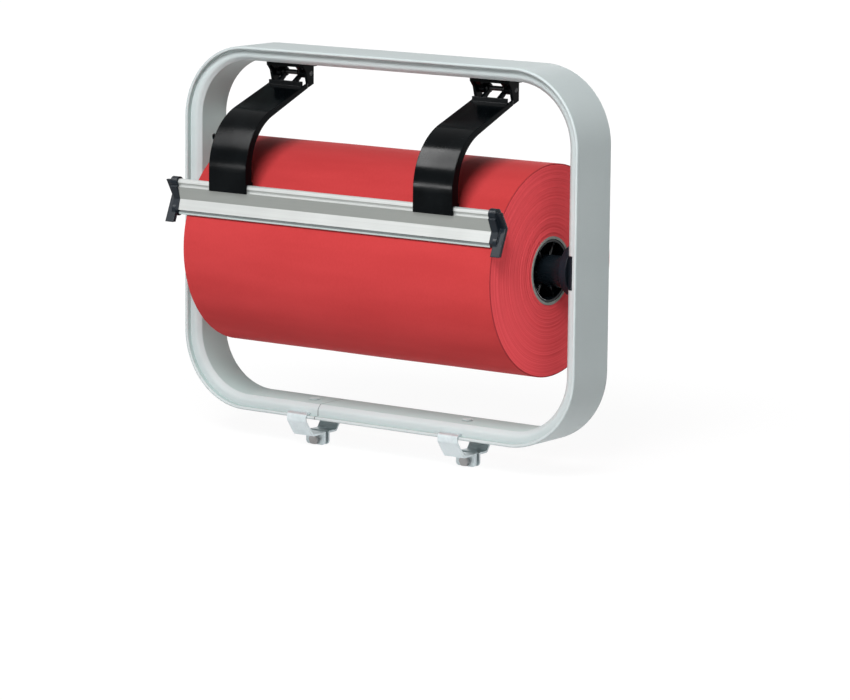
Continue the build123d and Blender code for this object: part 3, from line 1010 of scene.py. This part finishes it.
@dataclass(frozen=True)
class Lamp:
    """A soft rectangular lamp, which may serve only the gloss of some pieces."""

    name: str
    place: Point
    width: float
    height: float
    power: float
    spin: float = 0.0
    gloss_on: tuple[str, ...] = ()
    aim: Point = (0.0, 0.0, 0.13)

    def hang(self) -> None:
        """Hang the lamp, aimed and spun, and keep it to the gloss of its pieces if it has any."""
        data = bpy.data.lights.new(self.name, "AREA")
        data.shape = "RECTANGLE"
        data.size, data.size_y = self.width, self.height
        data.energy = self.power
        lamp = bpy.data.objects.new(self.name, data)
        lamp.location = self.place
        aimed = (Vector(self.aim) - Vector(self.place)).to_track_quat("-Z", "Y")
        spun = Quaternion((0.0, 0.0, 1.0), math.radians(self.spin))
        lamp.rotation_euler = (aimed @ spun).to_euler()
        lamp.visible_camera = False
        bpy.context.scene.collection.objects.link(lamp)
        if self.gloss_on:
            lit = bpy.data.collections.new(f"{self.name}_pieces")
            for node in self.gloss_on:
                lit.objects.link(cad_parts[node])
            lamp.light_linking.receiver_collection = lit
            lamp.visible_diffuse = False


@dataclass
class Studio:
    """White floor and backdrop, soft lamps, and the camera."""

    floor_half: float = 40.0
    floor_gap: float = 0.0002
    floor_white: Colour = (0.82, 0.82, 0.82, 1.0)
    floor_glow: float = 0.90
    floor_strength: float = 1.04
    shadow_reach: Span = (0.35, 0.75)
    backdrop_white: Colour = (1.0, 1.0, 1.0, 1.0)
    ambient: float = 0.05
    azimuth: float = 35.55
    elevation: float = 9.48
    roll: float = 0.56
    target: Point = (0.0341, 0.0, 0.0639)
    distance: float = 3.2732
    focal_pixels: float = 4102.8
    image_width: int = 850
    sensor_width: float = 36.0
    lamps: tuple[Lamp, ...] = (
        Lamp("key_lamp", (0.54, -1.78, 1.80), 1.3, 0.9, 82.0),
        Lamp("strip_lamp", (-1.38, -1.26, 1.77), 0.26, 1.3, 52.0, spin=36.0, gloss_on=BLACK_PIECES),
        Lamp("low_lamp", (-1.31, -1.95, 0.27), 0.24, 0.14, 8.0, gloss_on=ARMS),
        Lamp("edge_lamp", (1.78, -1.25, 1.21), 0.30, 0.9, 32.0, gloss_on=BLACK_PIECES),
        Lamp("side_lamp", (2.20, -1.10, 0.55), 1.2, 0.6, 5.0),
        Lamp("back_lamp", (-0.4, 2.4, 0.5), 1.6, 1.0, 36.0),
    )

    def lay_floor(self) -> None:
        """Lay a white floor that keeps the shadow."""
        half, low = self.floor_half, CAD_BOX[0].z - self.floor_gap
        mesh = bpy.data.meshes.new("floor")
        corners = [(-half, -half, low), (half, -half, low), (half, half, low), (-half, half, low)]
        mesh.from_pydata(corners, [], [(0, 1, 2, 3)])
        shader = Shader("white_floor")
        matt = shader.node("ShaderNodeBsdfDiffuse", inputs={"Color": self.floor_white})
        glow = shader.node("ShaderNodeEmission", inputs={"Strength": self.floor_strength})
        x, y, _ = shader.axes(shader.place())
        far = ((x * x + y * y) ** 0.5).fade(self.shadow_reach)
        share = shader.seen_white() * (self.floor_glow + far * (1.0 - self.floor_glow))
        both = shader.node("ShaderNodeMixShader", inputs={0: share, 1: matt, 2: glow})
        shader.node("ShaderNodeOutputMaterial", inputs={"Surface": both})
        mesh.materials.append(shader.material)
        floor = bpy.data.objects.new("floor", mesh)
        bpy.context.scene.collection.objects.link(floor)

    def light(self) -> None:
        """Hang the lamps and set the even light round them."""
        for lamp in self.lamps:
            lamp.hang()
        world = bpy.data.worlds.new("white_backdrop")
        world.use_nodes = True
        board = Board(world.node_tree)
        seen = board.seen_white()
        strength = seen + (1.0 - seen) * self.ambient
        inputs = {"Color": self.backdrop_white, "Strength": strength}
        even = board.node("ShaderNodeBackground", inputs=inputs)
        board.node("ShaderNodeOutputWorld", inputs={"Surface": even})
        bpy.context.scene.world = world

    def set_camera(self) -> None:
        """Put the camera where the photograph was taken from."""
        across = math.radians(self.azimuth)
        rise = math.radians(self.elevation)
        tilt = math.radians(self.roll)
        right = Vector((math.cos(across), math.sin(across), 0.0))
        back = Vector((math.sin(across) * math.cos(rise), -math.cos(across) * math.cos(rise),
                       math.sin(rise)))
        up = back.cross(right)
        level = right * math.cos(tilt) + up * math.sin(tilt)
        upright = up * math.cos(tilt) - right * math.sin(tilt)
        data = bpy.data.cameras.new("camera")
        data.sensor_width = self.sensor_width
        data.lens = self.sensor_width * self.focal_pixels / self.image_width
        camera = bpy.data.objects.new("camera", data)
        turn = Matrix((level, upright, back)).transposed().to_4x4()
        place = Vector(self.target) + back * self.distance
        camera.matrix_world = Matrix.Translation(place) @ turn
        bpy.context.scene.collection.objects.link(camera)
        bpy.context.scene.camera = camera

    def build(self) -> None:
        """Set up the floor, the light and the camera."""
        self.lay_floor()
        self.light()
        self.set_camera()
        bpy.context.scene.view_settings.view_transform = "Standard"


def main() -> None:
    """Build the dispenser's looks in order."""
    logging.basicConfig(level=logging.INFO, format="%(message)s")
    assemblies = (HoopFrame(), PaperRoll(), AxleSet(), TearRail(), ArmSet(), ClampSet(), Studio())
    for assembly in assemblies:
        assembly.build()
        log.info("%s is done", type(assembly).__name__)


if __name__ == "__main__":
    main()
